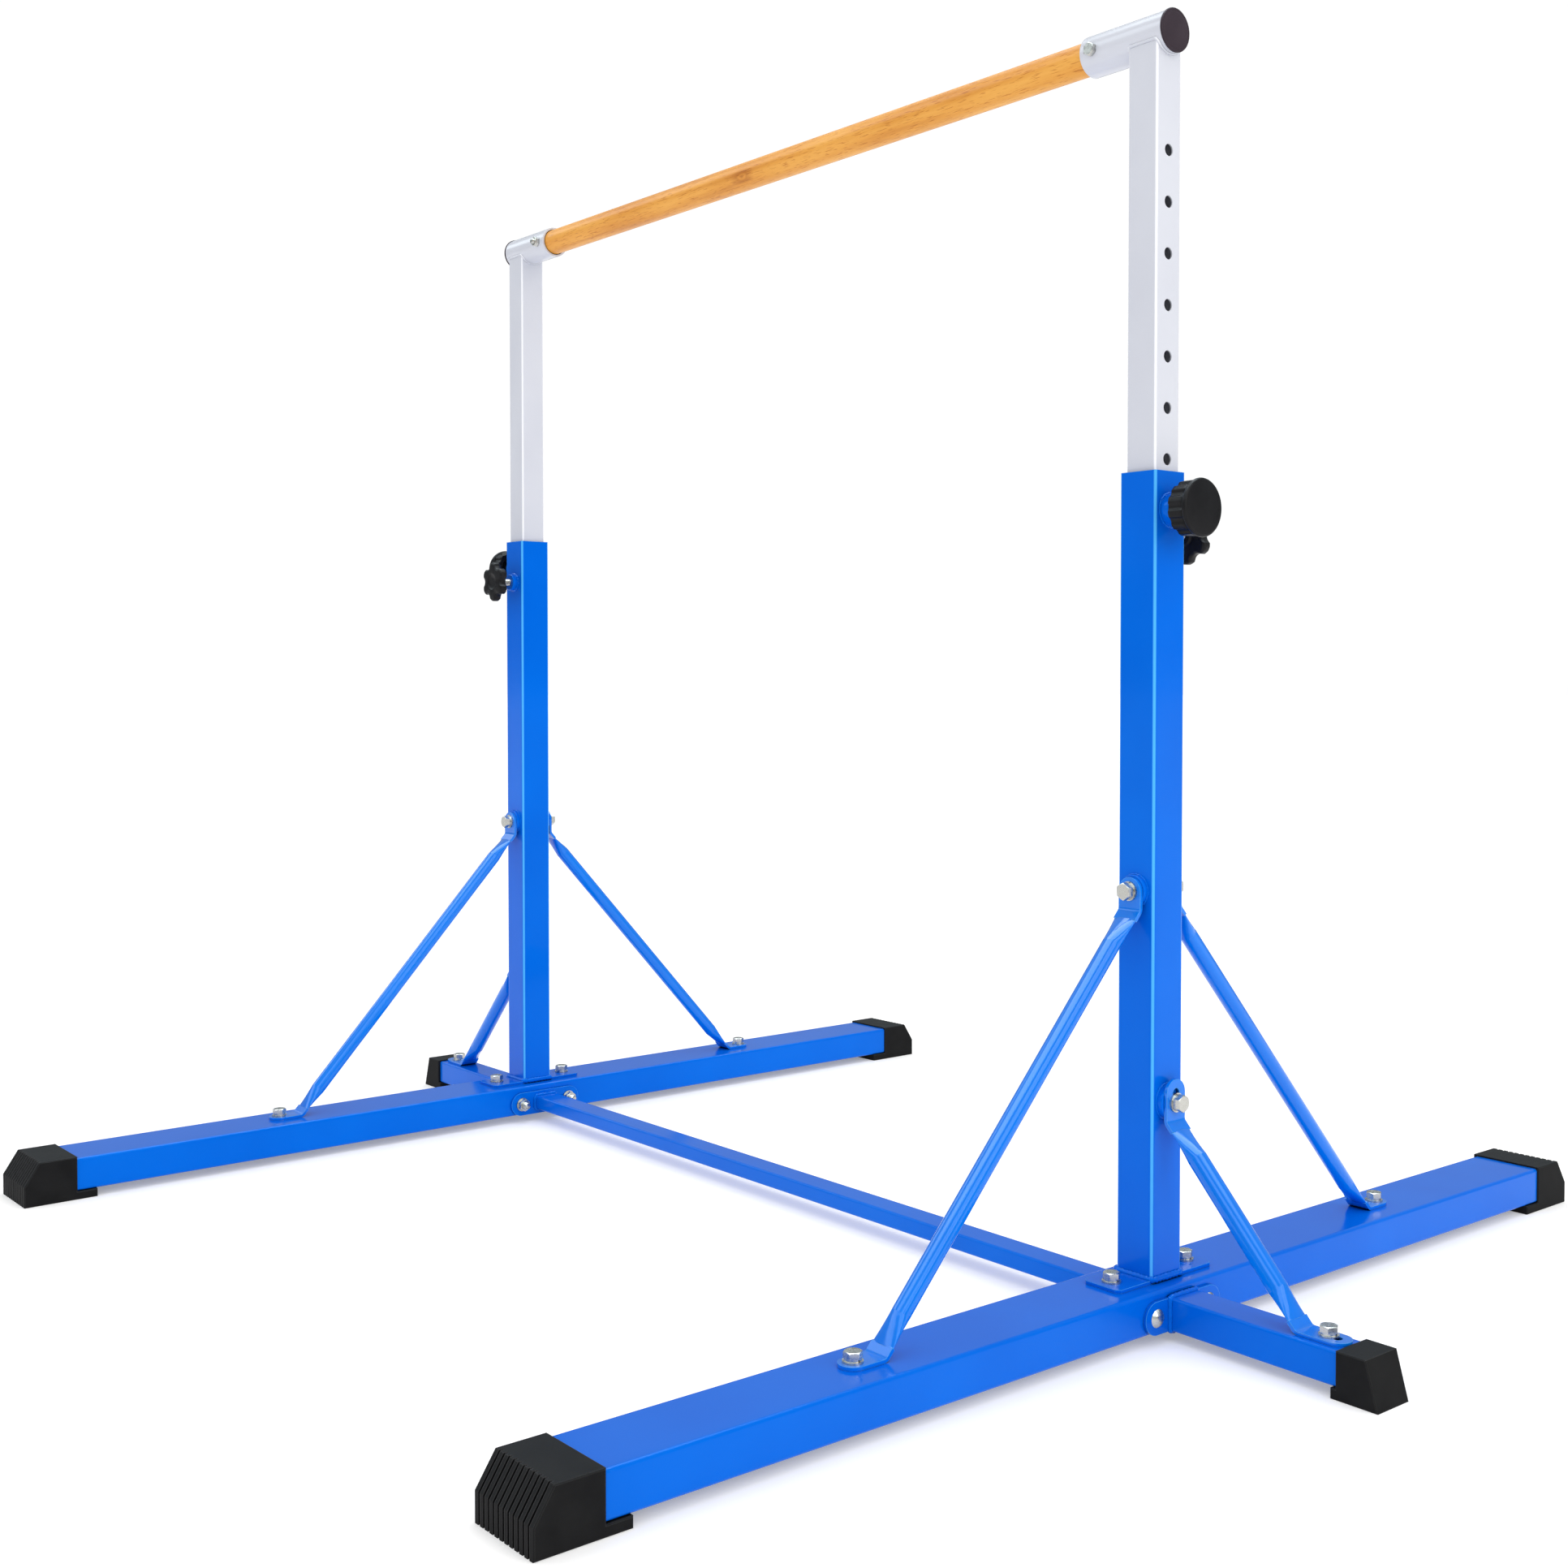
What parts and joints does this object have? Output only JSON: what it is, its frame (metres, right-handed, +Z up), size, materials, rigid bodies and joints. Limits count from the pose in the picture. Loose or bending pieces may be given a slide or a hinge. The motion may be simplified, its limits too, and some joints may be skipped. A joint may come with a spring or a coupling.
{
  "type": "kip bar",
  "caption": "Free-standing gymnastics kip bar: wooden bar on two telescoping steel uprights with braced floor beams, locking pins and star-knob clamps.",
  "frame": {"origin": "on the floor, at the centre of the machine's footprint", "axes": "+Z up, +X along the high bar, +Y along the base beams"},
  "size_m": [1.912, 1.62, 1.4235],
  "materials": {
    "blue_paint": "gloss powder coat",
    "silver_paint": "satin powder coat",
    "beech": "clear satin lacquer",
    "rubber": "matt",
    "black_plastic": "moulded satin",
    "zinc_steel": "bright zinc plate"
  },
  "bodies": {
    "stand": {"base_beam_right": "blue_paint", "base_beam_left": "blue_paint", "outrigger_tube_right": "blue_paint", "outrigger_tube_left": "blue_paint", "outrigger_flange_right": "blue_paint", "outrigger_flange_left": "blue_paint", "crossbeam_flange_right": "blue_paint", "crossbeam_flange_left": "blue_paint", "base_plate_right": "blue_paint", "base_plate_left": "blue_paint", "upright_tube_right": "blue_paint", "upright_tube_left": "blue_paint", "pin_boss_right": "blue_paint", "pin_boss_left": "blue_paint", "screw_boss_right": "blue_paint", "screw_boss_left": "blue_paint", "brace_bosses_right": "blue_paint", "brace_bosses_left": "blue_paint", "brace_back_right": "blue_paint", "brace_back_left": "blue_paint", "brace_front_right": "blue_paint", "brace_front_left": "blue_paint", "outrigger_brace_right": "blue_paint", "outrigger_brace_left": "blue_paint", "beam_foot_back_right": "rubber", "beam_foot_back_left": "rubber", "beam_foot_front_right": "rubber", "beam_foot_front_left": "rubber", "outrigger_foot_right": "rubber", "outrigger_foot_left": "rubber", "plate_bolts": "zinc_steel", "brace_foot_bolts": "zinc_steel", "weld_nuts": "zinc_steel", "brace_top_bolts": "zinc_steel", "flange_bolts": "zinc_steel", "flange_nuts": "zinc_steel", "washers": "zinc_steel", "spring_washers": "zinc_steel", "crossbeam_tube": "blue_paint"},
    "carriage": {"inner_tube_right": "silver_paint", "inner_tube_left": "silver_paint", "bar_sleeve_right": "silver_paint", "bar_sleeve_left": "silver_paint", "sleeve_cap_right": "black_plastic", "sleeve_cap_left": "black_plastic", "bar_bolt_right": "zinc_steel", "bar_bolt_left": "zinc_steel", "bar_nut_right": "zinc_steel", "bar_nut_left": "zinc_steel", "wood_bar": "beech"},
    "pin_right": {"pin_shank_right": "zinc_steel", "pin_knob_right": "black_plastic"},
    "screw_right": {"screw_stud_right": "zinc_steel"},
    "star_right": {"star_knob_right": "black_plastic"},
    "pin_left": {"pin_shank_left": "zinc_steel", "pin_knob_left": "black_plastic"},
    "screw_left": {"screw_stud_left": "zinc_steel"},
    "star_left": {"star_knob_left": "black_plastic"}
  },
  "joints": [
    {"name": "bar_height", "type": "slide", "parent": "stand", "child": "carriage", "axis": [0, 0, 1], "range_m": [-0.385, 0.11]},
    {"name": "pin_right_push", "type": "slide", "parent": "stand", "child": "pin_right", "axis": [-1, 0, 0], "range_m": [0, 0.006]},
    {"name": "screw_right_travel", "type": "slide", "parent": "stand", "child": "screw_right", "axis": [0, 1, 0], "range_m": [0, 0.00451]},
    {"name": "star_right_turn", "type": "hinge", "parent": "screw_right", "child": "star_right", "pos_m": [0.65, 0, 0.866], "axis": [0, 1, 0], "range_deg": [0, 1080]},
    {"name": "pin_left_push", "type": "slide", "parent": "stand", "child": "pin_left", "axis": [1, 0, 0], "range_m": [0, 0.006]},
    {"name": "screw_left_travel", "type": "slide", "parent": "stand", "child": "screw_left", "axis": [0, -1, 0], "range_m": [0, 0.00451]},
    {"name": "star_left_turn", "type": "hinge", "parent": "screw_left", "child": "star_left", "pos_m": [-0.65, 0, 0.866], "axis": [0, -1, 0], "range_deg": [0, 1080]}
  ],
  "couplings": [
    {"joint": "screw_right_travel", "follows": "star_right_turn", "m_per_rad": 0.00023873},
    {"joint": "screw_left_travel", "follows": "star_left_turn", "m_per_rad": 0.00023873}
  ]
}
